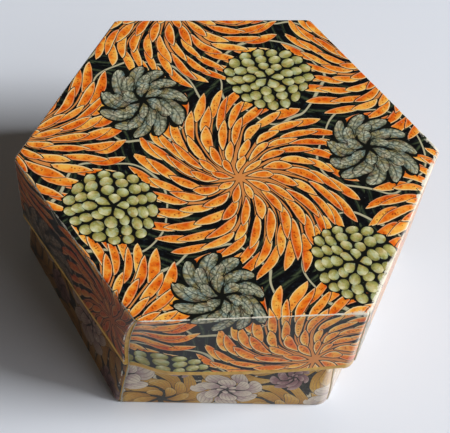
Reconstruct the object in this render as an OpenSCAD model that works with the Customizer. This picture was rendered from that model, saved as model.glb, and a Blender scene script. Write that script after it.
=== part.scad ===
// Hexagonal gift box folded from card: a base tray, and a lid that slips over it and lifts off.
// Each half is one sheet. Its panel carries six walls, and every wall turns the corner and
// ends in a glue tab behind the cut end of the next wall.
// The origin is the centre of the base's underside, with Z up.

/* [Base] */
// Length of each side of the base's bottom panel
base_side = 57.2; // [40:0.2:120]
// Height of the base's walls
base_depth = 49.6; // [36:0.2:100]

/* [Lid] */
// Depth of the lid, from its top to its free edge
lid_depth = 26.8; // [22:0.2:34]
// Play between each wall of the base and the hem inside the lid
lid_play = 1.7; // [0.6:0.1:3]
// Play that is left where the turned lid comes nearest to a corner of the base
rub_gap = 0.3; // [0.1:0.05:0.5]
// Widest opening of the lid's front seam, where its glue has let go
seam_gape = 1.2; // [0.4:0.1:2.5]

/* [Card] */
// Thickness of the card
card = 0.35; // [0.2:0.05:0.6]
// Inside radius of the creases between a panel and its walls
crease_in = 0.35; // [0.15:0.05:1]
// Inside radius of the upright folds at the corners
corner_in = 2.5; // [1:0.25:6]
// Depth of the hem that is turned in along each free edge
hem = 8; // [3:0.5:10]
// Reach of each glue tab past its corner
tab = 12; // [5:0.5:14]
// Slope of a glue tab's end beside the panel; under 30 the blank would overlap itself
tab_slope = 35; // [31:1:40]
// Gap between a fold and the cut end of the next wall, and round the glue tabs
seam = 0.2; // [0.1:0.05:0.5]

/* [Hidden] */
sides = 6;
wall_angle = 360 / sides; // turn from one wall to the next
half_angle = wall_angle / 2;
crease_steps = 4; // flats in a crease
corner_steps = 6; // flats in an upright fold
hem_steps = 6; // flats round the rim of a hem
gape_steps = 12; // flats in the open seam's edge
clear = 1; // how far a cutting shape reaches past the card
lap = 0.1; // how far stretches of one sheet run into each other where they meet
sink = 0.02; // how far a glued face is pressed in, so that no two faces share a plane
crease_out = crease_in + card;
corner_out = corner_in + card;
height = base_depth + card; // the lid's panel rests on the base's rim
base_flat = tidy(base_side * cos(half_angle)); // from the middle to a wall's outer face
lid_flat = base_flat + lid_play + 2 * card; // the hem doubles the lid's walls
// The lid is turned until the base's corners lie rub_gap from its hem
lid_turn = half_angle - acos(cos(half_angle)
    * (base_flat + lid_play - rub_gap - corner_out) / (base_flat - corner_out));

function tidy(length) = round(length * 1000) / 1000;
// Points of an arc about a centre, from one angle to another
function arc(centre, r, from, to, steps) =
    [for (i = [0:steps]) let (a = from + (to - from) * i / steps) centre + r * [cos(a), sin(a)]];
// Where the front wall's flat face ends and its fold round the corner begins
function fold_at(flat) = tidy((flat - corner_out) * tan(half_angle) - card / sin(wall_angle));
// Where the fold of the wall before ends, behind the front wall
function tab_at(flat) = -tidy((flat - corner_out) * tan(half_angle) + card / tan(wall_angle));
// Centre of the fold at the front wall's right end
function fold_centre(flat) = [fold_at(flat), corner_out - flat];
function turned(p, a) = [p.x * cos(a) - p.y * sin(a), p.x * sin(a) + p.y * cos(a)];

// Stretches a profile of depth behind the front wall's face and height along that wall
module along_front(flat, from, to)
    translate([from, -flat, 0]) rotate([90, 0, 90]) linear_extrude(to - from) children();

// Card between the crease, the rim with its hem turned in, and the hem's own cut edge
module wall_section(depth)
    polygon(concat(
        [[crease_out + lap, card], [crease_out + lap, 0]],
        arc([crease_out, crease_out], crease_out, 270, 180, crease_steps),
        arc([card, depth - card], card, 180, 0, hem_steps),
        [[2 * card, depth - hem], [card, depth - hem]],
        arc([crease_out, crease_out], crease_in, 180, 270, crease_steps)));

// The bow-shaped piece that is missing from a wall's cut end where its seam stands open
module gape_outline(from, to, width) {
    half = (to - from) / 2;
    r = (half * half + width * width) / (2 * width);
    spread = asin(half / r);
    polygon(concat(
        [[-clear, from], [-clear, to]],
        arc([width - r, from + half], r, spread, -spread, gape_steps)));
}

// The corners that are clipped off both ends of a hem, so that it clears the glue tab
module hem_clips(from, to, depth)
    for (end = [[from, 1], [to, -1]])
        polygon([
            [end[0] - end[1] * clear, depth + clear], [end[0], depth],
            [end[0] + end[1] * tab, depth - hem], [end[0] + end[1] * tab, depth - hem - clear],
            [end[0] - end[1] * clear, depth - hem - clear]]);

// Cuts through the front wall from a depth behind its face inwards
module through_front(flat, from)
    translate([0, 2 * card + clear - flat, 0]) rotate([90, 0, 0])
        linear_extrude(2 * card + clear - from) children();

module wall(flat, depth, gape) {
    start = tab_at(flat) + seam;
    difference() {
        along_front(flat, start, fold_at(flat)) wall_section(depth);
        through_front(flat, card) hem_clips(start, fold_at(flat), depth);
        if (gape > 0)
            through_front(flat, -clear) translate([start, 0])
                gape_outline(crease_out + seam, depth - card - seam, gape);
    }
}

// The fold that takes the front wall round its right corner, from the panel to the rim
module upright_fold(flat, depth) {
    linear_extrude(depth) polygon(concat(
        arc(fold_centre(flat), corner_out, -90, wall_angle - 90, corner_steps),
        arc(fold_centre(flat), corner_in, wall_angle - 90, -90, corner_steps)));
}

// The panel's corner under that fold
module corner_pad(flat) {
    next_start = tab_at(flat) + seam;
    linear_extrude(card) polygon(concat(
        [[fold_at(flat), crease_out + 3 * lap - flat]],
        arc(fold_centre(flat), corner_out, -90, wall_angle - 90, corner_steps),
        [for (in = [sink, crease_out + 3 * lap])
            turned([next_start + lap, in - flat], wall_angle)]));
}

// What the crease rounds off below the front wall
module crease_waste(flat)
    along_front(flat, -flat, flat) polygon(concat(
        [[crease_out, -clear], [-clear, -clear], [-clear, crease_out]],
        arc([crease_out, crease_out], crease_out, 180, 270, crease_steps)));

module corner(flat, depth)
    difference() {
        union() {
            upright_fold(flat, depth);
            corner_pad(flat);
        }
        crease_waste(flat);
        rotate(wall_angle) translate([0, sink, sink]) crease_waste(flat);
    }

// The glue tab of the wall before, on the inside of the front wall and clear of its hem
module glue_tab(flat, depth) {
    root = tab_at(flat) - lap;
    tip = root + tab;
    low = crease_out + seam;
    high = depth - 2 * seam;
    translate([0, 2 * card - sink - flat, 0]) rotate([90, 0, 0]) linear_extrude(card)
        polygon([[root, low], [tip, low + tab * tan(tab_slope)], [tip, high - hem], [root, high]]);
}

module panel(flat)
    linear_extrude(card) rotate(half_angle - 90)
        circle(r = (flat - crease_out - lap / 2) / cos(half_angle), $fn = sides);

// One folded sheet, lying on its panel. Only its front seam can stand open.
module tray(flat, depth, gape = 0) {
    panel(flat);
    for (i = [0:sides - 1]) rotate(i * wall_angle) {
        wall(flat, depth, i == 0 ? gape : 0);
        corner(flat, depth);
        glue_tab(flat, depth);
    }
}

module base() color("tan") tray(base_flat, base_depth);

module lid() color("chocolate")
    translate([0, 0, height]) rotate(lid_turn) mirror([0, 0, 1])
        tray(lid_flat, lid_depth, seam_gape);

base();
lid();
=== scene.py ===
import math

import bmesh
import bpy
from mathutils import Matrix, Vector, noise


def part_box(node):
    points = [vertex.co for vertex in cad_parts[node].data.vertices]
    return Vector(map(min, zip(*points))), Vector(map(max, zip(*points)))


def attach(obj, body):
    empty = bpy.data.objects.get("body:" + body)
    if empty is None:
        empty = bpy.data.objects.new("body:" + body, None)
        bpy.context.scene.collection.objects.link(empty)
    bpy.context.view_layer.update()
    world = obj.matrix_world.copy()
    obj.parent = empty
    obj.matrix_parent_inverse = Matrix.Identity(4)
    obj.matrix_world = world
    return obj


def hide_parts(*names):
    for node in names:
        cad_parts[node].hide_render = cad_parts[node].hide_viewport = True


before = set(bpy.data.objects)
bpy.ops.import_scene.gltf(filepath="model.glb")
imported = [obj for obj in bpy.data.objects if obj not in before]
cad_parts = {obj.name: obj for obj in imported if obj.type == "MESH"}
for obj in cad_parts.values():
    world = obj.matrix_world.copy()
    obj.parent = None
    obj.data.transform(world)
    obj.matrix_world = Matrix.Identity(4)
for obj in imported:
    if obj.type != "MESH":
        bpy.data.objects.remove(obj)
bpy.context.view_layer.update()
print("frame loaded:", sorted(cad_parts))

mm = 0.001
wallAngle = math.radians(60)
halfAngle = wallAngle / 2
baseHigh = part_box("base")[1]
lidLow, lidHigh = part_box("lid")
card = lidHigh.z - baseHigh.z  # the lid's panel lies on the base's rim
baseFlat = baseHigh.y  # from the middle to the outer face of a wall
lidPlay = 1.7 * mm
lidFlat = baseFlat + lidPlay + 2 * card
lidTurn = math.radians(3.125)


def addObject(name, data):
    made = bpy.data.objects.new(name, data)
    bpy.context.scene.collection.objects.link(made)
    return made


def wallWay(wall, turn=0):
    # the way a wall faces
    return Matrix.Rotation(wall * wallAngle + turn, 3, "Z") @ Vector((0, -1, 0))


def unit(value):
    return min(max(value, 0), 1)


def eased(share):
    return share * share * (3 - 2 * share)


def blend(low, high, share):
    return low + (high - low) * share


camera = {
    "azimuth": -8.681,
    "elevation": 53.89,
    "roll": 8.234,
    "place": (-0.03732, -0.18805, 0.29025),
    "lens": 88.39,
    "shift": (0.0667, -0.0444),
}


def makeCamera(settings):
    azimuth = math.radians(settings["azimuth"])
    elevation = math.radians(settings["elevation"])
    roll = math.radians(settings["roll"])
    back = Vector((math.sin(azimuth) * math.cos(elevation),
                   -math.cos(azimuth) * math.cos(elevation), math.sin(elevation)))
    level = (-back).cross(Vector((0, 0, 1))).normalized()
    upright = level.cross(-back)
    right = math.cos(roll) * level + math.sin(roll) * upright
    up = back.cross(right)
    data = bpy.data.cameras.new("camera")
    data.lens = settings["lens"]
    data.sensor_width = 36
    data.sensor_fit = "HORIZONTAL"
    data.shift_x, data.shift_y = settings["shift"]
    data.clip_start = 0.01
    made = addObject("camera", data)
    turn = Matrix((right, up, back)).transposed().to_4x4()
    made.matrix_world = Matrix.Translation(settings["place"]) @ turn
    bpy.context.scene.camera = made


makeCamera(camera)
print("camera set")

sheetShape = {  # what both halves share
    "crease": 0.55 * mm,
    "rim": 0.42 * mm,
    "hem": 8 * mm,
    "tab": 12 * mm,
    "tabSlope": 35,
    "tabInset": 0.35 * mm,
    "glue": 0.04 * mm,
    "seam": 0.2 * mm,
    "softWall": 1,  # the wall whose crease has gone soft
}
baseShape = {
    **sheetShape,
    "name": "baseSheet",
    "seed": (3.1, 7.7, 11.7),
    "flat": baseFlat,
    "depth": baseHigh.z,
    "gape": [0] * 6,  # widest opening of each wall's seam
    "foldAtPanel": [3.4 * mm, 2.2 * mm, 2 * mm, 2 * mm, 2.4 * mm, 1.6 * mm],
    "foldAtRim": [2.85 * mm] * 6,
    "bow": [0.25 * mm, 0.2 * mm, 0.15 * mm, 0.2 * mm, 0.2 * mm, 0.2 * mm],
    "bowRise": "panel",
    # how far each corner's foot has spread, in mm, from the front right corner round to the front left
    "spread": [(1.2, -2.7), (0.8, -0.3), (0.3, 0.3), (-0.3, 0.3), (-0.9, 1.8), (-1.6, -2)],
    "slip": 0,
    "softDrop": 0,
    "sag": 0,
    "wallRows": 22,
}
lidShape = {
    **sheetShape,
    "name": "lidSheet",
    "seed": (3.1, 7.7, 10.4),
    "flat": lidFlat,
    "depth": lidHigh.z - lidLow.z,
    "gape": [0.8 * mm] + [0] * 5,
    "foldAtPanel": [0.9 * mm, 0.8 * mm, 0.8 * mm, 0.9 * mm, 1 * mm, 0.7 * mm],
    "foldAtRim": [4 * mm, 2.6 * mm, 3 * mm, 2.2 * mm, 3.2 * mm, 1.2 * mm],
    "bow": [1.1 * mm, 0.2 * mm, 0.4 * mm, 0.4 * mm, 0.3 * mm, 0],
    "bowRise": "rim",
    # how far each corner has spread at the rim, in the same order
    "spread": [(0.3, -1.7), (0.7, -0.1), (0.2, 0.2), (-0.2, 0.2), (0.6, 0.9), (0, -1)],
    "slip": 4.2 * mm,  # how far the front left corner has slid along the left wall
    "softDrop": 0.5 * mm,
    "sag": 0.25 * mm,
    "wallRows": 14,
}
gaping = {  # how a seam that has let go opens along its height, and lifts its edge
    "span": 0.85,
    "power": 0.8,
    "lift": 0.28,
    "fade": 3,
}
relaxing = {
    "footHeight": 26 * mm,  # the base has spread up to this height
    "rimPower": 1.3,
    "softWidth": 4 * mm,
    "wave": 0.12 * mm,
    "waveScale": 55,
    "waveFrom": 2 * mm,
    "slipFront": 13 * mm,  # how far from the slipped corner the front wall still gives way
    "slipFade": 11.5 * mm,
    "slipSide": 32 * mm,  # how far the left wall does
    "slipRise": 2.27,
    "frontPower": 1.8,
    "sidePower": 1.5,
}
foldPower = 1.3
bowPower = 1.4
columns = 36  # across a wall
foldColumns = 8
tabColumns = 6
panelRows = 16
creaseRows = 5
rimRows = 6
hemRows = 4
rowGap = 0.4 * mm  # between the first rows above a crease
panelSeam = 1.15 * mm  # how far inside the crease the sixths of the panel part
panelRow = 2 * mm  # between that row and the one before
farOff = 20  # mm, where no such edge is near
tabOff = 10
weldDistance = 0.004 * mm


def foldAt(shape, radius):
    return (shape["flat"] - radius) * math.tan(halfAngle) - card / math.sin(wallAngle)


def tabAt(shape, radius):
    return -(shape["flat"] - radius) * math.tan(halfAngle) - card / math.tan(wallAngle)


def marks(shape):
    # how far along the sheet, from the panel's centre outwards, each stretch begins
    panelEnd = shape["flat"] - shape["crease"]
    wallStart = panelEnd + shape["crease"] * math.pi / 2
    wallEnd = wallStart + shape["depth"] - shape["crease"] - shape["rim"]
    hemStart = wallEnd + shape["rim"] * math.pi
    return {"panelEnd": panelEnd, "wallStart": wallStart, "wallEnd": wallEnd,
            "rimTop": wallEnd + shape["rim"] * math.pi / 2, "hemStart": hemStart,
            "hemEnd": hemStart + shape["hem"] - shape["rim"]}


def section(shape, along, straight=False):
    # distance out from the middle and height above the panel, for a place along the sheet
    at = marks(shape)
    flat, crease, rim = shape["flat"], shape["crease"], shape["rim"]
    if along <= at["panelEnd"]:
        return along, 0
    if along <= at["wallStart"]:
        angle = (along - at["panelEnd"]) / crease
        return at["panelEnd"] + crease * math.sin(angle), crease * (1 - math.cos(angle))
    if along <= at["wallEnd"] or straight:
        return flat, crease + along - at["wallStart"]
    if along <= at["hemStart"]:
        angle = (along - at["wallEnd"]) / rim
        return flat - rim * (1 - math.cos(angle)), shape["depth"] - rim * (1 - math.sin(angle))
    return flat - 2 * rim, shape["depth"] - rim - (along - at["hemStart"])


def foldRadius(shape, corner, height):
    share = unit(height / shape["depth"])
    return blend(shape["foldAtPanel"][corner], shape["foldAtRim"][corner], share ** foldPower)


def bowOut(shape, wall, across, height):
    # how far a wall stands out between its folds
    half = foldAt(shape, 2 * mm)
    share = min(abs(across) / half, 1)
    rise = unit(height / shape["depth"])
    if shape["bowRise"] == "panel":
        lift = math.sin(math.pi * rise)
    else:
        lift = rise ** bowPower
    return shape["bow"][wall % 6] * (1 - share ** 2) * lift


def steps(low, high, count):
    return [blend(low, high, i / count) for i in range(count + 1)]


def gridPoints(mesh, wide, long):
    # a grid's vertices, each with its column and row
    made = bmesh.ops.create_grid(mesh, x_segments=wide, y_segments=long, size=0.5)
    return [(v, round((v.co.x + 0.5) * wide), round((v.co.y + 0.5) * long)) for v in made["verts"]]


def putVertex(layers, vertex, wall, local, blank, values):
    # local is (across, out, up) on one wall; blank is (across, along) on the flat sheet
    turn = Matrix.Rotation(wall * wallAngle, 3, "Z")
    vertex.co = turn @ Vector((local[0], -local[1], local[2]))
    vertex[layers["blank"]] = blank
    for key, value in values.items():
        vertex[layers[key]] = value


def onBlank(wall, across, along):
    return Matrix.Rotation(wall * wallAngle, 3, "Z") @ Vector((across, -along, 0))


def upRows(shape):
    # the rows of a wall, from the panel's edge to where its rim begins to roll
    at = marks(shape)
    rows = steps(at["panelEnd"], at["wallStart"], creaseRows) + [at["wallStart"] + rowGap]
    return rows + steps(at["wallStart"] + 2 * rowGap, at["wallEnd"], shape["wallRows"])


def addStrip(mesh, layers, shape, wall):
    # a sixth of the panel, its crease, its wall and the hem
    at = marks(shape)
    seamEnd = at["panelEnd"] - panelSeam  # the sixths of the panel meet as far as this
    rows = steps(0, seamEnd - panelRow, panelRows) + [seamEnd, at["panelEnd"] - card] + upRows(shape)
    rows += steps(at["wallEnd"], at["hemStart"], rimRows)[1:]
    rows += steps(at["hemStart"], at["hemEnd"], hemRows)[1:]
    for vertex, column, row in gridPoints(mesh, columns, len(rows) - 1):
        along = rows[row]
        out, up = section(shape, along)
        share = column / columns
        leftRadius = foldRadius(shape, wall - 1, up)
        rightRadius = foldRadius(shape, wall, up)
        if along <= seamEnd:
            left, right = -along * math.tan(halfAngle), along * math.tan(halfAngle)
        elif along <= at["panelEnd"]:
            part = (along - seamEnd) / (at["panelEnd"] - seamEnd)
            right = blend(seamEnd * math.tan(halfAngle), foldAt(shape, rightRadius), part)
            left = blend(-seamEnd * math.tan(halfAngle), tabAt(shape, leftRadius), part)
            if column == 0:
                out = blend(seamEnd, at["panelEnd"] - card, part)
        else:
            rise = min(up / shape["depth"], 1)
            opening = math.sin(math.pi * gaping["span"] * rise) ** gaping["power"]
            opening = shape["seam"] + shape["gape"][wall] * opening
            opening *= min(1, (along - at["panelEnd"]) / (at["wallStart"] - at["panelEnd"]))
            left, right = tabAt(shape, leftRadius) + opening, foldAt(shape, rightRadius)
            clipped = max(0, along - at["rimTop"]) * shape["tab"] / shape["hem"]
            left, right = left + clipped, right - clipped
        across = blend(left, right, share)
        if along > at["panelEnd"]:
            out += bowOut(shape, wall, across, up)
            out += (gaping["lift"] * shape["gape"][wall] * math.exp(-column / gaping["fade"])
                    * math.sin(math.pi * rise))
        onWall = along > at["panelEnd"] - rowGap
        putVertex(layers, vertex, wall, (across, out, up), onBlank(wall, across, along), {
            "rimDistance": (at["rimTop"] - along) / mm,
            "creaseDistance": (along - (at["panelEnd"] + at["wallStart"]) / 2) / mm,
            "foldDistance": (across - right - rightRadius * halfAngle) / mm if onWall else -farOff,
            "cutDistance": (across - left) / mm if onWall else farOff,
            "tabMask": 0})


def foldHeights(shape):
    return upRows(shape) + [marks(shape)["wallEnd"] + shape["rim"]]


def addFold(mesh, layers, shape, wall):
    # the wall's right end, folded round the corner
    at = marks(shape)
    rows = foldHeights(shape)
    for vertex, column, row in gridPoints(mesh, foldColumns, len(rows) - 1):
        along = rows[row]
        out, up = section(shape, along, straight=True)
        radius = foldRadius(shape, wall, up)
        turn = wallAngle * column / foldColumns
        reach = radius - (shape["flat"] - out)
        across = foldAt(shape, radius) + reach * math.sin(turn)
        away = shape["flat"] - radius + reach * math.cos(turn)
        if along > at["panelEnd"]:
            away += bowOut(shape, wall, foldAt(shape, radius), up) * (1 - column / foldColumns)
        flatAcross = foldAt(shape, radius) + radius * turn
        blank = onBlank(wall, across, away) if row == 0 else onBlank(wall, flatAcross, along)
        putVertex(layers, vertex, wall, (across, away, up), blank, {
            "rimDistance": (at["rimTop"] - along) / mm,
            "creaseDistance": (along - (at["panelEnd"] + at["wallStart"]) / 2) / mm,
            "foldDistance": radius * (turn - halfAngle) / mm,
            "cutDistance": farOff,
            "tabMask": column == foldColumns})


def addTab(mesh, layers, shape, wall):
    # the glue tab, behind the next wall's cut end
    at = marks(shape)
    rows = foldHeights(shape)[creaseRows:]
    slope = math.tan(math.radians(shape["tabSlope"]))
    for vertex, column, row in gridPoints(mesh, tabColumns, len(rows) - 1):
        up = section(shape, rows[row], straight=True)[1]
        radius = foldRadius(shape, wall, up)
        past = shape["tab"] * column / tabColumns
        low = shape["crease"] + past * slope
        high = shape["depth"] - past * shape["hem"] / shape["tab"]
        share = (up - shape["crease"]) / (shape["depth"] - shape["crease"])
        if column:
            high -= shape["tabInset"]
            up = blend(low, high, share)
        across = tabAt(shape, radius) + past
        away = shape["flat"] - card - (shape["glue"] if column else 0)
        away += bowOut(shape, wall + 1, across, up) if column else 0
        flatAcross = foldAt(shape, radius) + radius * wallAngle + past
        putVertex(layers, vertex, wall + 1, (across, away, up), onBlank(wall, flatAcross, rows[row]), {
            "rimDistance": tabOff,
            "creaseDistance": tabOff,
            "foldDistance": (radius * halfAngle + past) / mm,
            "cutDistance": farOff,
            "tabMask": 1})


def closeCorners(mesh, shape):
    # the panel's small corner under each fold
    edges = [e for e in mesh.edges if e.is_boundary and all(
        abs(v.co.z) < 0.001 * mm and v.co.xy.length > shape["flat"] for v in e.verts)]
    made = bmesh.ops.holes_fill(mesh, edges=edges, sides=0)
    for face in made["faces"]:
        face.normal_update()
        if face.normal.z > 0:
            face.normal_flip()
    return len(made["faces"])


def relax(mesh, shape):
    # spread corners, a slipped seam, a sagging panel, a softened crease and slight waves
    flat, depth = shape["flat"], shape["depth"]
    seed = Vector(shape["seed"])
    softWay = wallWay(shape["softWall"])
    softFrom = flat - relaxing["softWidth"]
    spread = [Vector(pair) * mm for pair in shape["spread"]]
    reach = flat / math.cos(halfAngle)
    corners = [Matrix.Rotation((k - 1) * wallAngle, 2) @ Vector((reach, 0)) for k in range(6)]
    slipWay = (corners[4] - corners[5]).normalized()
    for vertex in mesh.verts:
        spot, height = vertex.co.xy, vertex.co.z
        rise = unit(height / depth)
        if shape["bowRise"] == "panel":
            free = eased(max(0, 1 - height / relaxing["footHeight"]))
        else:
            free = rise ** relaxing["rimPower"]
        wave = noise.noise(vertex.co * relaxing["waveScale"] + seed) * relaxing["wave"]
        inside = max(0, 1 - (spot.length / flat) ** 2)
        soft = unit((vertex.co.dot(softWay) - softFrom) / relaxing["softWidth"])
        # each wall's ends follow its two corners, and the panel follows towards its edge
        wall = math.floor((math.atan2(spot.y, spot.x) + math.pi / 2 + halfAngle) / wallAngle) % 6
        local = Matrix.Rotation(-wall * wallAngle, 2) @ spot
        out = max(-local.y, 0.001 * mm)
        share = unit(0.5 + local.x / (2 * out * math.tan(halfAngle)))
        shift = spread[wall - 1].lerp(spread[wall], share) * free * min(out / flat, 1)
        if shape["slip"]:
            apart = (spot - corners[5]).length
            if wall == 0:
                near = eased(unit((relaxing["slipFront"] - apart) / relaxing["slipFade"]))
                near = near ** relaxing["frontPower"]
            else:
                near = max(0, 1 - apart / relaxing["slipSide"]) ** relaxing["sidePower"]
            shift += slipWay * shape["slip"] * near * math.sin(relaxing["slipRise"] * rise)
        if height > relaxing["waveFrom"]:
            shift += spot.normalized() * wave
        vertex.co.x += shift.x
        vertex.co.y += shift.y
        vertex.co.z += shape["sag"] * inside
        vertex.co.z += shape["softDrop"] * soft * soft * (1 - height / depth)


def foldedSheet(shape, place):
    mesh = bmesh.new()
    layers = {key: mesh.verts.layers.float.new(key) for key in
              ("rimDistance", "creaseDistance", "foldDistance", "cutDistance", "tabMask")}
    layers["blank"] = mesh.verts.layers.float_vector.new("blank")
    for wall in range(6):
        addStrip(mesh, layers, shape, wall)
        addFold(mesh, layers, shape, wall)
        addTab(mesh, layers, shape, wall)
    bmesh.ops.remove_doubles(mesh, verts=mesh.verts, dist=weldDistance)
    filled = closeCorners(mesh, shape)
    relax(mesh, shape)
    blankMap = mesh.loops.layers.uv.new("blankMap")
    for face in mesh.faces:
        face.smooth = True
        for loop in face.loops:
            loop[blankMap].uv = loop.vert[layers["blank"]].xy / mm
    mesh.verts.layers.float_vector.remove(layers["blank"])
    bmesh.ops.transform(mesh, matrix=place, verts=mesh.verts)
    if place.determinant() < 0:
        bmesh.ops.reverse_faces(mesh, faces=mesh.faces)
    data = bpy.data.meshes.new(shape["name"])
    mesh.to_mesh(data)
    print(shape["name"], "faces", len(mesh.faces), "corners filled", filled)
    mesh.free()
    made = addObject(shape["name"], data)
    body = made.modifiers.new("cardThickness", "SOLIDIFY")
    body.thickness = card
    body.offset = -1
    body.use_even_offset = True
    body.material_offset = 1
    body.material_offset_rim = 2
    return made


baseSheet = foldedSheet(baseShape, Matrix.Identity(4))
onTop = Matrix.Translation((0, 0, lidHigh.z)) @ Matrix.Rotation(lidTurn, 4, "Z")
lidSheet = foldedSheet(lidShape, onTop @ Matrix.Diagonal((1, 1, -1, 1)))


def srgb(code):
    parts = [int(code[i:i + 2], 16) / 255 for i in (0, 2, 4)]
    return [p / 12.92 if p <= 0.04045 else ((p + 0.055) / 1.055) ** 2.4 for p in parts] + [1]


def feed(tree, socket, value):
    if isinstance(value, bpy.types.NodeSocket):
        tree.links.new(value, socket)
    elif value is not None:
        socket.default_value = value


def calc(tree, operation, *values, clamp=False):
    made = tree.nodes.new("ShaderNodeMath")
    made.operation = operation
    made.use_clamp = clamp
    for socket, value in zip(made.inputs, values):
        feed(tree, socket, value)
    return made.outputs[0]


def calcVector(tree, operation, *values):
    made = tree.nodes.new("ShaderNodeVectorMath")
    made.operation = operation
    for socket, value in zip(made.inputs, values):
        feed(tree, socket, value)
    if operation in ("LENGTH", "DISTANCE", "DOT_PRODUCT"):
        return made.outputs["Value"]
    return made.outputs["Vector"]


def ease(tree, value, low, high):
    # 0 at low, 1 at high, eased between; low may be above high
    made = tree.nodes.new("ShaderNodeMapRange")
    made.interpolation_type = "SMOOTHSTEP"
    feed(tree, made.inputs["Value"], value)
    feed(tree, made.inputs["From Min"], low)
    feed(tree, made.inputs["From Max"], high)
    return made.outputs["Result"]


def mixValue(tree, share, first, second):
    made = tree.nodes.new("ShaderNodeMix")
    feed(tree, made.inputs["Factor"], share)
    feed(tree, made.inputs[2], first)
    feed(tree, made.inputs[3], second)
    return made.outputs[0]


def mixColour(tree, share, first, second):
    made = tree.nodes.new("ShaderNodeMix")
    made.data_type = "RGBA"
    feed(tree, made.inputs["Factor"], share)
    feed(tree, made.inputs[6], first)
    feed(tree, made.inputs[7], second)
    return made.outputs[2]


def ramp(tree, value, stops):
    made = tree.nodes.new("ShaderNodeValToRGB")
    elements = made.color_ramp.elements
    while len(elements) < len(stops):
        elements.new(0.5)
    for element, (place, colour) in zip(elements, stops):
        element.position = place
        element.color = colour
    feed(tree, made.inputs[0], value)
    return made.outputs["Color"]


def noiseAt(tree, vector, scale, detail=2, roughness=0.5, output=0):
    made = tree.nodes.new("ShaderNodeTexNoise")
    feed(tree, made.inputs["Vector"], vector)
    made.inputs["Scale"].default_value = scale
    made.inputs["Detail"].default_value = detail
    made.inputs["Roughness"].default_value = roughness
    return made.outputs[output]


def swing(tree, value, amount, middle=0.5):
    # how far a value is above its middle, times an amount
    return calc(tree, "MULTIPLY", calc(tree, "SUBTRACT", value, middle), amount)


def nearZero(tree, value, outer, inner):
    # 1 where a value lies within inner of zero, and 0 from outer on
    return ease(tree, calc(tree, "ABSOLUTE", value), outer, inner)


def startGroup(name, inputs, outputs):
    tree = bpy.data.node_groups.new(name, "ShaderNodeTree")
    for label, kind, value in inputs:
        socket = tree.interface.new_socket(label, in_out="INPUT", socket_type="NodeSocket" + kind)
        if value is not None:
            socket.default_value = value
    for label, kind in outputs:
        tree.interface.new_socket(label, in_out="OUTPUT", socket_type="NodeSocket" + kind)
    return tree, tree.nodes.new("NodeGroupInput").outputs, tree.nodes.new("NodeGroupOutput").inputs


def useGroup(tree, group, **values):
    made = tree.nodes.new("ShaderNodeGroup")
    made.node_tree = group
    for label, value in values.items():
        feed(tree, made.inputs[label], value)
    return made.outputs


petalForm = {
    "uneven": 0.22,  # how much shorter than the longest a petal may be
    "skew": 0.85,  # the lower, the nearer to its root a petal is widest
    "overlap": 0.12,  # how softly one petal covers the next
    "stemWidth": (0.34, 0.16),
    "stemReach": (-2, -1.5),
}


def makePetalRing():
    tree, given, result = startGroup("petalRing", [
        ("Reach", "Float", 0), ("Turn", "Float", 0), ("Count", "Float", 12), ("Phase", "Float", 0),
        ("Start", "Float", 5), ("End", "Float", 12), ("Fullness", "Float", 0.95), ("Point", "Float", 0.8)],
        [("Inset", "Float"), ("Along", "Float"), ("Across", "Float"), ("Pick", "Float"), ("Stem", "Float")])
    place = calc(tree, "ADD", calc(tree, "MULTIPLY", given["Turn"], given["Count"]), given["Phase"])
    off = calc(tree, "SUBTRACT", calc(tree, "FRACT", place), 0.5)
    pick = tree.nodes.new("ShaderNodeTexWhiteNoise")
    pick.noise_dimensions = "2D"
    pair = tree.nodes.new("ShaderNodeCombineXYZ")
    feed(tree, pair.inputs[0], calc(tree, "FLOOR", place))
    feed(tree, pair.inputs[1], given["Count"])
    feed(tree, pick.inputs["Vector"], pair.outputs[0])
    feed(tree, result["Pick"], pick.outputs["Value"])
    shorter = calc(tree, "MULTIPLY", pick.outputs["Value"], petalForm["uneven"])
    span = calc(tree, "MULTIPLY", calc(tree, "SUBTRACT", given["End"], given["Start"]),
                calc(tree, "SUBTRACT", 1, shorter))
    along = calc(tree, "DIVIDE", calc(tree, "SUBTRACT", given["Reach"], given["Start"]), span, clamp=True)
    skewed = calc(tree, "POWER", along, petalForm["skew"])
    hump = calc(tree, "MULTIPLY", calc(tree, "MULTIPLY", skewed, calc(tree, "SUBTRACT", 1, skewed)), 4)
    half = calc(tree, "MULTIPLY", calc(tree, "POWER", hump, given["Point"]),
                calc(tree, "MULTIPLY", given["Fullness"], 0.5))
    pitch = calc(tree, "DIVIDE", calc(tree, "MULTIPLY", given["Reach"], 2 * math.pi), given["Count"])
    inset = calc(tree, "MULTIPLY", calc(tree, "SUBTRACT", half, calc(tree, "ABSOLUTE", off)), pitch)
    past = calc(tree, "SUBTRACT", given["Reach"], calc(tree, "ADD", given["Start"], span))
    short = calc(tree, "SUBTRACT", given["Start"], given["Reach"])
    feed(tree, result["Inset"], calc(tree, "SUBTRACT", inset, calc(
        tree, "MAXIMUM", calc(tree, "MAXIMUM", past, short), 0)))
    feed(tree, result["Along"], along)
    feed(tree, result["Across"], calc(tree, "DIVIDE", off, calc(tree, "ADD", half, 0.001)))
    thin = ease(tree, calc(tree, "MULTIPLY", calc(tree, "ABSOLUTE", off), pitch), *petalForm["stemWidth"])
    feed(tree, result["Stem"], calc(tree, "MULTIPLY", thin, ease(tree, short, *petalForm["stemReach"])))
    return tree


petalRing = makePetalRing()


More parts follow.
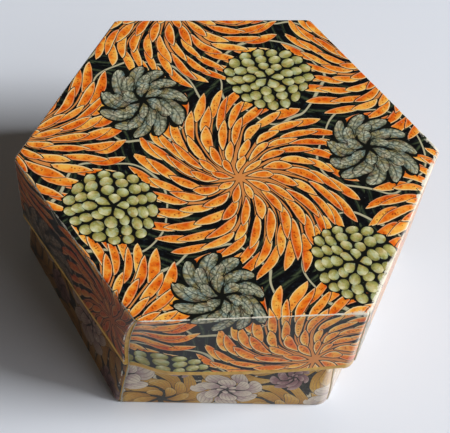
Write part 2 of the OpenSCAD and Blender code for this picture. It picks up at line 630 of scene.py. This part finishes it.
def makeRosette(name, rings):
    # rings are laid from the outermost in, each over the one before
    tree, given, result = startGroup(name, [
        ("Vector", "Vector", None), ("Size", "Float", 1), ("Twist", "Float", 0.0),
        ("Fullness", "Float", 0.95), ("Point", "Float", 0.8)],
        [("Mask", "Float"), ("Along", "Float"), ("Across", "Float"), ("Inset", "Float"),
         ("Pick", "Float"), ("Stem", "Float"), ("Outer", "Float")])
    parts = tree.nodes.new("ShaderNodeSeparateXYZ")
    size = tree.nodes.new("ShaderNodeCombineXYZ")
    for socket in size.inputs:
        feed(tree, socket, given["Size"])
    feed(tree, parts.inputs[0], calcVector(tree, "DIVIDE", given["Vector"], size.outputs[0]))
    reach = calc(tree, "SQRT", calc(tree, "ADD", calc(tree, "POWER", parts.outputs[0], 2),
                                    calc(tree, "POWER", parts.outputs[1], 2)))
    turn = calc(tree, "DIVIDE", calc(tree, "ARCTAN2", parts.outputs[1], parts.outputs[0]), 2 * math.pi)
    # whole turns are added, so that the turn stays above 0
    turn = calc(tree, "ADD", calc(tree, "ADD", turn, calc(tree, "MULTIPLY", reach, given["Twist"])), 8)
    shown = {"Mask": 0, "Along": 0, "Across": 0, "Inset": 0, "Pick": 0, "Stem": 0, "Outer": -5}
    for start, end, count, phase in rings:
        ring = useGroup(tree, petalRing, Reach=reach, Turn=turn, Count=count, Phase=phase, Start=start,
                        End=end, Fullness=given["Fullness"], Point=given["Point"])
        cover = ease(tree, ring["Inset"], 0, petalForm["overlap"])
        for key in ("Along", "Across", "Inset", "Pick"):
            shown[key] = mixValue(tree, cover, shown[key], ring[key])
        shown["Mask"] = calc(tree, "MAXIMUM", shown["Mask"], cover)
        shown["Outer"] = calc(tree, "MAXIMUM", shown["Outer"], ring["Inset"])
        stem = mixValue(tree, cover, shown["Stem"], 0)
        shown["Stem"] = calc(tree, "MAXIMUM", stem, calc(tree, "MULTIPLY", ring["Stem"], calc(
            tree, "SUBTRACT", 1, cover)))
    for key, value in shown.items():
        feed(tree, result[key], value)
    return tree


longRosette = makeRosette("longRosette", [
    (23, 33.4, 33, 0.5), (17.5, 29.5, 31, 0), (11.5, 23.5, 24, 0.3), (6, 16, 16, 0.1), (1.4, 9.5, 9, 0.6)])
beadRosette = makeRosette("beadRosette", [
    (9.2, 12.6, 17, 0.5), (6.4, 10.2, 13, 0), (3.6, 7.4, 9, 0.4), (0.6, 4.6, 5, 0.1)])
frillRosette = makeRosette("frillRosette", [
    (4.5, 13, 11, 0.5), (3, 9.6, 9, 0), (0.8, 6, 6, 0.3)])
broadRosette = makeRosette("broadRosette", [
    (4, 10, 7, 0.5), (1.2, 7, 6, 0), (0.3, 2.6, 5, 0.2)])


def makeLattice():
    # folds the plane on a lattice of equal triangles; gives the place about the nearest point
    tree, given, result = startGroup("lattice", [
        ("Vector", "Vector", None), ("Spacing", "Float", 60), ("Offset", "Vector", None)],
        [("Vector", "Vector"), ("Pick", "Float")])
    step = tree.nodes.new("ShaderNodeCombineXYZ")
    feed(tree, step.inputs[0], given["Spacing"])
    feed(tree, step.inputs[1], calc(tree, "MULTIPLY", given["Spacing"], math.sqrt(3)))
    step.inputs[2].default_value = 1000  # the sheet is flat, so nothing is folded along Z
    high = calcVector(tree, "MULTIPLY", step.outputs[0], (0.5, 0.5, 0.5))
    low = calcVector(tree, "MULTIPLY", step.outputs[0], (-0.5, -0.5, -0.5))
    shifted = calcVector(tree, "SUBTRACT", given["Vector"], given["Offset"])
    first = calcVector(tree, "WRAP", shifted, high, low)
    second = calcVector(tree, "WRAP", calcVector(tree, "ADD", shifted, high), high, low)
    first = calcVector(tree, "MULTIPLY", first, (1, 1, 0))
    second = calcVector(tree, "MULTIPLY", second, (1, 1, 0))
    nearer = calc(tree, "LESS_THAN", calcVector(tree, "LENGTH", second), calcVector(tree, "LENGTH", first))
    chosen = tree.nodes.new("ShaderNodeMix")
    chosen.data_type = "VECTOR"
    feed(tree, chosen.inputs["Factor"], nearer)
    feed(tree, chosen.inputs[4], first)
    feed(tree, chosen.inputs[5], second)
    feed(tree, result["Vector"], chosen.outputs[1])
    cell = calcVector(tree, "DIVIDE", calcVector(tree, "SUBTRACT", shifted, chosen.outputs[1]), high)
    cell = calcVector(tree, "FLOOR", calcVector(tree, "ADD", cell, (0.5, 0.5, 0.5)))
    pick = tree.nodes.new("ShaderNodeTexWhiteNoise")
    pick.noise_dimensions = "2D"
    feed(tree, pick.inputs["Vector"], cell)
    feed(tree, result["Pick"], pick.outputs["Value"])
    return tree


lattice = makeLattice()


wearForm = {  # the noise that breaks up a worn line
    "fineScale": 1.6,
    "middleScale": 0.42,
    "wideScale": 0.16,
    "ragged": (2.6, 2.8),  # how far fine and middle noise move the line's edge
    "shares": (0.4, 0.3, 0.3),  # of wide, middle and fine noise in where it shows
    "level": 0.75,
    "softness": 0.1,
}


def makeEdgeWear():
    # a broken line of bared card along a fold or a cut edge
    tree, given, result = startGroup("edgeWear", [
        ("Vector", "Vector", None), ("Distance", "Float", 0), ("Width", "Float", 0.2),
        ("Amount", "Float", 0.5)], [("Mask", "Float")])
    fine = noiseAt(tree, given["Vector"], wearForm["fineScale"], 3, 0.65)
    middle = noiseAt(tree, given["Vector"], wearForm["middleScale"], 1)
    wide = noiseAt(tree, given["Vector"], wearForm["wideScale"], 2)
    fineRagged, middleRagged = wearForm["ragged"]
    reach = calc(tree, "ADD", swing(tree, fine, fineRagged), swing(tree, middle, middleRagged))
    reach = calc(tree, "MULTIPLY", given["Width"], calc(tree, "ADD", reach, 1))
    near = nearZero(tree, given["Distance"], reach, calc(tree, "MULTIPLY", reach, 0.7))
    patch = 0
    for value, share in zip((wide, middle, fine), wearForm["shares"]):
        patch = calc(tree, "ADD", patch, calc(tree, "MULTIPLY", value, share))
    level = calc(tree, "MULTIPLY", calc(tree, "SUBTRACT", 1.02, given["Amount"]), wearForm["level"])
    kept = ease(tree, patch, level, calc(tree, "ADD", level, wearForm["softness"]))
    feed(tree, result["Mask"], calc(tree, "MULTIPLY", near, kept))
    return tree


edgeWear = makeEdgeWear()


grainForm = {
    "fibreScale": 4.5,
    "fibreHeight": 0.03,
    "waveScale": 0.09,
    "waveHeight": 0.9,
}


def makeCardGrain():
    # the card's fibres and the slight waves of a sheet, as a height and a spotty tone
    tree, given, result = startGroup("cardGrain", [("Vector", "Vector", None)],
                                     [("Height", "Float"), ("Tone", "Float")])
    fibres = noiseAt(tree, given["Vector"], grainForm["fibreScale"], 4, 0.7)
    waves = noiseAt(tree, given["Vector"], grainForm["waveScale"], 1)
    feed(tree, result["Height"], calc(tree, "ADD", calc(tree, "MULTIPLY", fibres, grainForm["fibreHeight"]),
                                      calc(tree, "MULTIPLY", waves, grainForm["waveHeight"])))
    feed(tree, result["Tone"], fibres)
    return tree


cardGrain = makeCardGrain()


def wobble(tree, place, scale, amount, turn):
    # moves a print's place about and turns it on the sheet
    warp = noiseAt(tree, place, scale, 1, output="Color")
    shift = calcVector(tree, "SUBTRACT", warp, (0.5, 0.5, 0.5))
    place = calcVector(tree, "ADD", place, calcVector(tree, "MULTIPLY", shift, (amount, amount, 0)))
    turned = tree.nodes.new("ShaderNodeVectorRotate")
    turned.rotation_type = "Z_AXIS"
    turned.inputs["Angle"].default_value = math.radians(turn)
    feed(tree, turned.inputs["Vector"], place)
    return turned.outputs[0]


def tones(settings, key):
    return [(place, srgb(code)) for place, code in settings[key]]


def lattices(tree, place, design):
    # the lattice's points, and the two sets of holes between them
    x, y, z = design["offset"]
    hole = design["spacing"] / math.sqrt(3)
    return [useGroup(tree, lattice, Vector=place, Spacing=design["spacing"], Offset=(x, y + away, z))
            for away in (0, hole, -hole)]


lidDesign = {
    "spacing": 66,
    "turn": 17,
    "offset": (5, -7, 0),
    "warp": (0.045, 7),  # the scale and reach of its slight distortion
    "backLeaves": {"Size": 1.16, "Twist": 0.011, "Fullness": 0.45, "Point": 1},
    "ring": 15.2,  # radius of the cream rings
    "ringDrift": 6,
    "ringWidth": (0.42, 0.2),
    "ringStrength": 0.8,
    "petals": {"Size": 1, "Fullness": 0.8, "Point": 0.8},
    "petalTwist": 0.009,
    "paleEdge": (0.8, 0.46),
    "outlineEdge": (0.42, 0.26),
    "dots": {"scale": 1.3, "size": (0.42, 0.22), "band": (0.5, 0.2), "strength": 0.7},
    "medalGap": (-0.95, -0.7),
    "medalEdge": (0.4, 0.2),
    "veins": {"count": 5.5, "slant": -1.3, "width": (0.2, 0.08), "strength": 0.5},
    "midrib": {"width": (0.14, 0.05), "strength": 0.7},
    "ground": [(0.45, "0a090a"), (0.6, "101215"), (0.68, "1f2a31"), (0.76, "34464c")],
    "back": [(0, "0e110d"), (0.5, "222a20"), (0.9, "56603f")],
    "orange": [(0, "b02f08"), (0.28, "dc5810"), (0.55, "f08220"), (0.9, "fbbc50")],
    "olive": [(0.1, "5f6032"), (0.45, "a9a55c"), (0.9, "e6e0b2")],
    "sage": [(0.05, "2b3128"), (0.4, "70745d"), (0.9, "cac8a9")],
    "cream": "cfc6a0",
    "stem": "d98a48",
    "dot": "8a2506",
    "pale": "f6d9a2",
    "outline": "150b08",
    "gap": "12130f",
    "vein": "20271f",
    "leafEdge": "14160f",
}
lidMedals = {
    "olive": {"rosette": beadRosette, "size": 1, "twist": 0.002, "point": 0.42, "mottle": 0.7,
              "veins": False, "patches": [("96803a", 0.45), ("bccaa8", 0.45), ("cda35c", 0.3)]},
    "sage": {"rosette": frillRosette, "size": 1.08, "twist": 0.012, "point": 0.55, "mottle": 1.7,
             "veins": True, "patches": [("a08c4c", 0.5), ("8dabac", 0.32), ("a87f62", 0.25)]},
}


def medallion(tree, colour, place, fine, cell, key):
    design, medal = lidDesign, lidMedals[key]
    leaves = useGroup(tree, medal["rosette"], Vector=cell["Vector"], Size=medal["size"],
                      Twist=medal["twist"], Fullness=0.98, Point=medal["point"])
    aside = calc(tree, "ABSOLUTE", leaves["Across"])
    gap = ease(tree, leaves["Outer"], *design["medalGap"])
    colour = mixColour(tree, gap, colour, srgb(design["gap"]))
    dome = calc(tree, "SUBTRACT", 1, calc(tree, "POWER", aside, 2))
    dome = calc(tree, "MULTIPLY", dome, calc(tree, "ADD", calc(tree, "MULTIPLY", leaves["Along"], 0.7), 0.2))
    green = ramp(tree, calc(tree, "ADD", dome, swing(tree, fine, medal["mottle"])), tones(design, key))
    for number, (code, share) in enumerate(medal["patches"]):
        patch = noiseAt(tree, calcVector(tree, "ADD", place, (31 * number + 7, 0, 0)), 0.42, 3, 0.6)
        patch = calc(tree, "MULTIPLY", ease(tree, patch, 0.5, 0.62), share)
        green = mixColour(tree, patch, green, srgb(code))
    if medal["veins"]:
        # dark veins that slant back from the middle of each leaf
        veins, midrib = design["veins"], design["midrib"]
        vein = calc(tree, "FRACT", calc(tree, "ADD", calc(tree, "MULTIPLY", leaves["Along"], veins["count"]),
                                        calc(tree, "MULTIPLY", aside, veins["slant"])))
        vein = nearZero(tree, calc(tree, "SUBTRACT", vein, 0.5), *veins["width"])
        vein = calc(tree, "MULTIPLY", vein, veins["strength"])
        middle = calc(tree, "MULTIPLY", ease(tree, aside, *midrib["width"]), midrib["strength"])
        green = mixColour(tree, calc(tree, "MAXIMUM", vein, middle), green, srgb(design["vein"]))
    edge = ease(tree, leaves["Inset"], *design["medalEdge"])
    green = mixColour(tree, edge, green, srgb(design["leafEdge"]))
    return mixColour(tree, ease(tree, leaves["Inset"], 0.02, 0.12), colour, green)


def lidPrint(tree, blank):
    design = lidDesign
    place = wobble(tree, blank, *design["warp"], design["turn"])
    fine = noiseAt(tree, place, 1.1, 3, 0.6)
    mottle = noiseAt(tree, place, 0.33, 3, 0.6)
    slow = noiseAt(tree, place, 0.1, 0)
    big, olive, sage = lattices(tree, place, design)
    colour = ramp(tree, noiseAt(tree, place, 0.8, 4, 0.65), tones(design, "ground"))
    # dull leaves that show between the petals
    back = useGroup(tree, longRosette, Vector=big["Vector"], **design["backLeaves"])
    leaf = calc(tree, "ADD", calc(tree, "MULTIPLY", back["Inset"], 0.35), calc(tree, "MULTIPLY", fine, 0.6))
    leaf = ramp(tree, leaf, tones(design, "back"))
    colour = mixColour(tree, ease(tree, back["Inset"], 0.15, 0.35), colour, leaf)
    # cream rings, half hidden by the petals
    for cell in (olive, sage):
        around = swing(tree, slow, design["ringDrift"])
        around = calc(tree, "ADD", calcVector(tree, "LENGTH", cell["Vector"]), around)
        line = nearZero(tree, calc(tree, "SUBTRACT", around, design["ring"]), *design["ringWidth"])
        line = calc(tree, "MULTIPLY", line, design["ringStrength"])
        colour = mixColour(tree, line, colour, srgb(design["cream"]))
    # orange petals, with dark dots along the middle, a pale edge and an outline
    spin = swing(tree, calc(tree, "GREATER_THAN", big["Pick"], 0.5), design["petalTwist"])
    petals = useGroup(tree, longRosette, Vector=big["Vector"], Twist=spin, **design["petals"])
    inset = calc(tree, "ADD", petals["Inset"], swing(tree, fine, 0.34))
    tone = calc(tree, "ADD", calc(tree, "MULTIPLY", mottle, 1.5), swing(tree, petals["Pick"], 0.3))
    tone = calc(tree, "ADD", tone, calc(tree, "MULTIPLY", petals["Across"], 0.2))
    orange = ramp(tree, calc(tree, "SUBTRACT", tone, 0.16), tones(design, "orange"))
    dots = design["dots"]
    cells = tree.nodes.new("ShaderNodeTexVoronoi")
    cells.inputs["Scale"].default_value = dots["scale"]
    feed(tree, cells.inputs["Vector"], place)
    dotted = calc(tree, "MULTIPLY", ease(tree, cells.outputs["Distance"], *dots["size"]),
                  nearZero(tree, petals["Across"], *dots["band"]))
    orange = mixColour(tree, calc(tree, "MULTIPLY", dotted, dots["strength"]), orange, srgb(design["dot"]))
    side = calc(tree, "ADD", calc(tree, "MULTIPLY", ease(tree, petals["Across"], -0.6, 0.5), 0.55), 0.35)
    pale = calc(tree, "MULTIPLY", ease(tree, inset, *design["paleEdge"]), side)
    orange = mixColour(tree, pale, orange, srgb(design["pale"]))
    orange = mixColour(tree, ease(tree, inset, *design["outlineEdge"]), orange, srgb(design["outline"]))
    colour = mixColour(tree, petals["Stem"], colour, srgb(design["stem"]))
    colour = mixColour(tree, ease(tree, petals["Inset"], 0.1, 0.25), colour, orange)
    colour = medallion(tree, colour, place, fine, olive, "olive")
    return medallion(tree, colour, place, fine, sage, "sage")


baseDesign = {
    "spacing": 31,
    "turn": -12,
    "offset": (4, 6, 0),
    "warp": (0.09, 5),
    "ring": 9.4,
    "ringDrift": 4,
    "ringWidth": (0.5, 0.25),
    "streaks": {"count": 2.5, "width": (0.2, 0.05), "strength": 0.45},
    "outlineEdge": (0.32, 0.14),
    "ground": [(0.4, "2a2621"), (0.58, "3b382f"), (0.72, "5f6153")],
    "gold": [(0, "8a5c1c"), (0.35, "b98430"), (0.65, "cfa047"), (0.95, "dcc084")],
    "cream": [(0, "8d6f70"), (0.3, "b39a93"), (0.6, "d8c8b2"), (0.9, "e8dcc6")],
    "mauve": [(0, "5b3a3e"), (0.5, "94706f"), (0.9, "c9b0a2")],
    "line": "cfc3a6",
    "streak": "8c6460",
    "outline": "2c221c",
}
baseBlooms = {
    "gold": {"rosette": frillRosette, "size": 1.3, "twist": 0.02, "fullness": 0.9},
    "cream": {"rosette": broadRosette, "size": 1.02, "twist": 0.01, "fullness": 1},
    "mauve": {"rosette": broadRosette, "size": 0.62, "twist": -0.02, "fullness": 0.95},
}


def basePrint(tree, blank):
    design = baseDesign
    place = wobble(tree, blank, *design["warp"], design["turn"])
    fine = noiseAt(tree, place, 1.2, 3, 0.6)
    mottle = noiseAt(tree, place, 0.4, 3, 0.6)
    cells = lattices(tree, place, design)
    colour = ramp(tree, fine, tones(design, "ground"))
    around = swing(tree, mottle, design["ringDrift"])
    around = calc(tree, "ADD", calcVector(tree, "LENGTH", cells[2]["Vector"]), around)
    line = nearZero(tree, calc(tree, "SUBTRACT", around, design["ring"]), *design["ringWidth"])
    colour = mixColour(tree, line, colour, srgb(design["line"]))
    for cell, (key, kind) in zip(cells, baseBlooms.items()):
        bloom = useGroup(tree, kind["rosette"], Vector=cell["Vector"], Size=kind["size"],
                         Twist=kind["twist"], Fullness=kind["fullness"], Point=0.55)
        shade = calc(tree, "ADD", calc(tree, "MULTIPLY", bloom["Along"], 0.75), swing(tree, fine, 0.7, 0.4))
        petal = ramp(tree, shade, tones(design, key))
        streaks = design["streaks"]
        streak = calc(tree, "FRACT", calc(tree, "MULTIPLY", bloom["Across"], streaks["count"]))
        streak = nearZero(tree, calc(tree, "SUBTRACT", streak, 0.5), *streaks["width"])
        streak = calc(tree, "MULTIPLY", streak, streaks["strength"])
        petal = mixColour(tree, streak, petal, srgb(design["streak"]))
        edge = ease(tree, bloom["Inset"], *design["outlineEdge"])
        petal = mixColour(tree, edge, petal, srgb(design["outline"]))
        colour = mixColour(tree, ease(tree, bloom["Inset"], 0.02, 0.12), colour, petal)
    return colour


def attribute(tree, name):
    made = tree.nodes.new("ShaderNodeAttribute")
    made.attribute_name = name
    return made.outputs["Fac"]


def newMaterial(name):
    material = bpy.data.materials.new(name)
    material.use_nodes = True
    tree = material.node_tree
    return material, tree, tree.nodes["Principled BSDF"]


def blankPlace(tree):
    made = tree.nodes.new("ShaderNodeUVMap")
    made.uv_map = "blankMap"
    return made.outputs[0]


paperLook = {
    "bared": [(0.3, "cfc4a8"), (0.7, "efe9da")],
    # painted glare: the pale tone the window-side wall is painted towards
    "paintedGlare": "d2c8be",
    "specular": 0.12,
    "coat": 0.6,
    "coatIor": 1.24,
    "coatRoughness": 0.3,
    "roughness": 0.34,
    "roughDrift": 0.16,
    "baredRoughness": 0.8,
    "baredDip": 0.06,
    "relief": 0.35 * mm,
    "driftScale": 0.06,
    "borderDrift": 1.6,
    "borderSoft": 0.12,
    "paintedGlareDrift": 0.4,
    "paintedGlareFrom": (-1.2 * mm, -0.2 * mm),  # how far inside the window-side wall's face its painted glare begins
    "paintedShadeFrom": (-1, 3),  # mm past the panel's edge, where the painted shade on the left walls begins
    "paintedShadeBeside": (1, -2),  # mm, where it ends beside the walls next to them
    "spotAmount": 0.46,
    "spotCore": 0.55,  # the share of a worn spot's reach that is fully worn
}


def addRelief(tree, shader, height):
    bump = tree.nodes.new("ShaderNodeBump")
    bump.inputs["Strength"].default_value = 1
    bump.inputs["Distance"].default_value = paperLook["relief"]
    feed(tree, bump.inputs["Height"], height)
    feed(tree, shader.inputs["Normal"], bump.outputs[0])


def paintedLeftShade(tree, colour, blank, worn):
    # painted shade: the print is darkened on the two left walls, standing in for the shadow they lie in
    parts = tree.nodes.new("ShaderNodeSeparateXYZ")
    feed(tree, parts.inputs[0], blank)
    leftPart = calc(tree, "ADD", parts.outputs[0], calc(
        tree, "MULTIPLY", calc(tree, "ABSOLUTE", parts.outputs[1]), math.tan(halfAngle)))
    reach = 0
    for wall in (4, 5):
        reach = calc(tree, "MAXIMUM", reach, calcVector(tree, "DOT_PRODUCT", blank, wallWay(wall)))
    low, high = [worn["flat"] / mm + past for past in paperLook["paintedShadeFrom"]]
    beside = ease(tree, leftPart, *paperLook["paintedShadeBeside"])
    paintedShade = calc(tree, "MULTIPLY", ease(tree, reach, low, high), beside)
    return mixColour(tree, paintedShade, colour, calcVector(tree, "MULTIPLY", colour, worn["paintedShade"]))


def baredCard(tree, blank, place, worn):
    # where the print has worn off: along folds and cut edges, and wider at some spots of a crease
    bare = 0
    for key, (width, amount) in worn["edges"].items():
        line = useGroup(tree, edgeWear, Vector=blank, Distance=attribute(tree, key),
                        Width=width, Amount=amount)
        bare = calc(tree, "MAXIMUM", bare, line["Mask"])
    for spot, radius, reach in worn["spots"]:
        core = radius * paperLook["spotCore"]
        close = ease(tree, calcVector(tree, "DISTANCE", place, spot), radius, core)
        frayed = useGroup(tree, edgeWear, Vector=blank, Distance=attribute(tree, "creaseDistance"),
                          Width=reach, Amount=paperLook["spotAmount"])
        bare = calc(tree, "MAXIMUM", bare, calc(tree, "MULTIPLY", frayed["Mask"], close))
    return bare


def printedMaterial(name, printed, worn):
    # the print with painted shade on the left walls and painted glare on the window-side wall, the plain
    # border along the edges, bared card at folds and cut edges, and the card's grain
    material, tree, shader = newMaterial(name)
    blank = blankPlace(tree)
    place = tree.nodes.new("ShaderNodeTexCoord").outputs["Object"]
    grain = useGroup(tree, cardGrain, Vector=blank)
    drift = noiseAt(tree, blank, paperLook["driftScale"], 1)
    # painted shade: the left walls' print is darkened here
    colour = paintedLeftShade(tree, printed(tree, blank), blank, worn)
    border = ramp(tree, noiseAt(tree, blank, 0.5, 3), tones(worn, "border"))
    rim = swing(tree, drift, paperLook["borderDrift"])
    rim = calc(tree, "ADD", attribute(tree, "rimDistance"), rim)
    plain = ease(tree, rim, worn["borderWidth"] + paperLook["borderSoft"], worn["borderWidth"])
    plain = calc(tree, "MAXIMUM", plain, ease(tree, attribute(tree, "tabMask"), 0.4, 0.6))
    colour = mixColour(tree, plain, colour, border)
    # painted glare: the wall towards the window is painted paler, standing in for the window's light washing
    # it out
    low, high = [worn["flat"] + past for past in paperLook["paintedGlareFrom"]]
    faced = ease(tree, calcVector(tree, "DOT_PRODUCT", place, wallWay(1, worn["turn"])), low, high)
    paintedGlare = calc(tree, "ADD", swing(tree, drift, paperLook["paintedGlareDrift"]), worn["paintedGlare"])
    paintedGlare = calc(tree, "MULTIPLY", faced, paintedGlare)
    colour = mixColour(tree, paintedGlare, colour, srgb(paperLook["paintedGlare"]))
    bare = baredCard(tree, blank, place, worn)
    colour = mixColour(tree, bare, colour, ramp(tree, grain["Tone"], tones(paperLook, "bared")))
    feed(tree, shader.inputs["Base Color"], colour)
    rough = calc(tree, "ADD", swing(tree, grain["Tone"], paperLook["roughDrift"]), paperLook["roughness"])
    feed(tree, shader.inputs["Roughness"], mixValue(tree, bare, rough, paperLook["baredRoughness"]))
    shader.inputs["Specular IOR Level"].default_value = paperLook["specular"]
    shader.inputs["Coat Weight"].default_value = paperLook["coat"]
    shader.inputs["Coat IOR"].default_value = paperLook["coatIor"]
    shader.inputs["Coat Roughness"].default_value = paperLook["coatRoughness"]
    dip = calc(tree, "MULTIPLY", bare, paperLook["baredDip"])
    addRelief(tree, shader, calc(tree, "SUBTRACT", grain["Height"], dip))
    return material


cardLook = {
    "cloudScale": 0.12,
    "shares": (0.7, 0.3),  # of grain and cloud in the card's tone
    "stops": (0.35, 0.65),
}


def cardMaterial(name, dark, light, roughness):
    # bare card: the inside of a sheet, or its cut edge
    material, tree, shader = newMaterial(name)
    blank = blankPlace(tree)
    grain = useGroup(tree, cardGrain, Vector=blank)
    cloud = noiseAt(tree, blank, cardLook["cloudScale"], 3)
    grainShare, cloudShare = cardLook["shares"]
    tone = calc(tree, "ADD", calc(tree, "MULTIPLY", grain["Tone"], grainShare),
                calc(tree, "MULTIPLY", cloud, cloudShare))
    stops = zip(cardLook["stops"], (srgb(dark), srgb(light)))
    feed(tree, shader.inputs["Base Color"], ramp(tree, tone, list(stops)))
    shader.inputs["Roughness"].default_value = roughness
    addRelief(tree, shader, grain["Height"])
    return material


def onLidCrease(wall, across):
    turn = Matrix.Rotation(wall * wallAngle + lidTurn, 3, "Z")
    return turn @ Vector((across, -lidFlat, lidHigh.z))


lidWear = {
    "border": [(0.3, "bd8a2a"), (0.7, "e6b54c")],
    "borderWidth": 2,
    # painted shade: how strongly the left walls' print is darkened
    "paintedShade": (0.45, 0.3, 0.28),
    # painted glare: how far the window-side wall is painted paler
    "paintedGlare": 0.32,
    "flat": lidFlat,
    "turn": lidTurn,
    # each kind of edge: how wide the bared line is, and how much of it there is
    "edges": {"creaseDistance": (0.2, 0.5), "foldDistance": (0.16, 0.4), "cutDistance": (0.14, 0.55)},
    # worn spots: the place, how far round it they reach, and how wide the bared line is
    "spots": [(onLidCrease(1, 21 * mm), 17 * mm, 0.9), (onLidCrease(1, -22 * mm), 14 * mm, 0.85),
              (onLidCrease(2, -25 * mm), 6 * mm, 0.6), (onLidCrease(0, 29 * mm), 4 * mm, 0.4)],
}
baseWear = {
    "border": lidWear["border"],
    "borderWidth": 1.6,
    # painted shade: how strongly the left walls' print is darkened
    "paintedShade": (0.45, 0.36, 0.33),
    # painted glare: how far the window-side wall is painted paler
    "paintedGlare": 0.45,
    "flat": baseFlat,
    "turn": 0,
    "edges": {"creaseDistance": (0.16, 0.4), "foldDistance": (0.14, 0.3), "cutDistance": (0.4, 0.92)},
    "spots": [],
}
lidSheet.data.materials.append(printedMaterial("lidPrint", lidPrint, lidWear))
baseSheet.data.materials.append(printedMaterial("basePrint", basePrint, baseWear))
for sheetObject in (lidSheet, baseSheet):
    sheetObject.data.materials.append(cardMaterial(sheetObject.name + "Inside", "c9bfa6", "e4dcc8", 0.75))
    sheetObject.data.materials.append(cardMaterial(sheetObject.name + "Edge", "d9d0b8", "f4efe2", 0.85))
print("materials made")

room = {
    "floorHalf": 3,
    "floor": "e4e7ec",
    "floorRoughness": 0.6,
    "sky": "f0e6d8",
    "skyStrength": 0.07,
}
floorMesh = bmesh.new()
bmesh.ops.create_grid(floorMesh, x_segments=1, y_segments=1, size=room["floorHalf"])
floorData = bpy.data.meshes.new("floor")
floorMesh.to_mesh(floorData)
floorMesh.free()
floor = addObject("floor", floorData)
floorPaint, floorShader = newMaterial("floorPaint")[::2]
floorShader.inputs["Base Color"].default_value = srgb(room["floor"])
floorShader.inputs["Roughness"].default_value = room["floorRoughness"]
floor.data.materials.append(floorPaint)
print("floor laid")

world = bpy.data.worlds.new("world")
bpy.context.scene.world = world
world.use_nodes = True
world.node_tree.nodes["Background"].inputs["Color"].default_value = srgb(room["sky"])
world.node_tree.nodes["Background"].inputs["Strength"].default_value = room["skyStrength"]

lights = {
    "window": {"azimuth": -4, "elevation": 36, "distance": 3.8, "aim": (0, 0, 0.03), "wide": 1.5,
               "high": 1.26, "power": 192, "colour": "f7faff"},
    "roomFill": {"azimuth": -38, "elevation": 40, "distance": 2, "aim": (0, 0, 0.03), "wide": 1,
                 "high": 0.8, "power": 7, "colour": "f4f6fc"},
}


def makeLight(name, settings):
    data = bpy.data.lights.new(name, "AREA")
    data.shape = "RECTANGLE"
    data.size = settings["wide"]
    data.size_y = settings["high"]
    data.energy = settings["power"]
    data.color = srgb(settings["colour"])[:3]
    made = addObject(name, data)
    azimuth = math.radians(settings["azimuth"])
    elevation = math.radians(settings["elevation"])
    away = settings["distance"] * Vector((math.cos(azimuth) * math.cos(elevation),
                                          math.sin(azimuth) * math.cos(elevation), math.sin(elevation)))
    turn = (-away).to_track_quat("-Z", "Y").to_matrix().to_4x4()
    made.matrix_world = Matrix.Translation(away + Vector(settings["aim"])) @ turn


for lightName, lightSettings in lights.items():
    makeLight(lightName, lightSettings)
print("lights placed")

bpy.context.scene.view_settings.view_transform = "Standard"

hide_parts("base")
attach(baseSheet, "base")
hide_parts("lid")
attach(lidSheet, "lid")
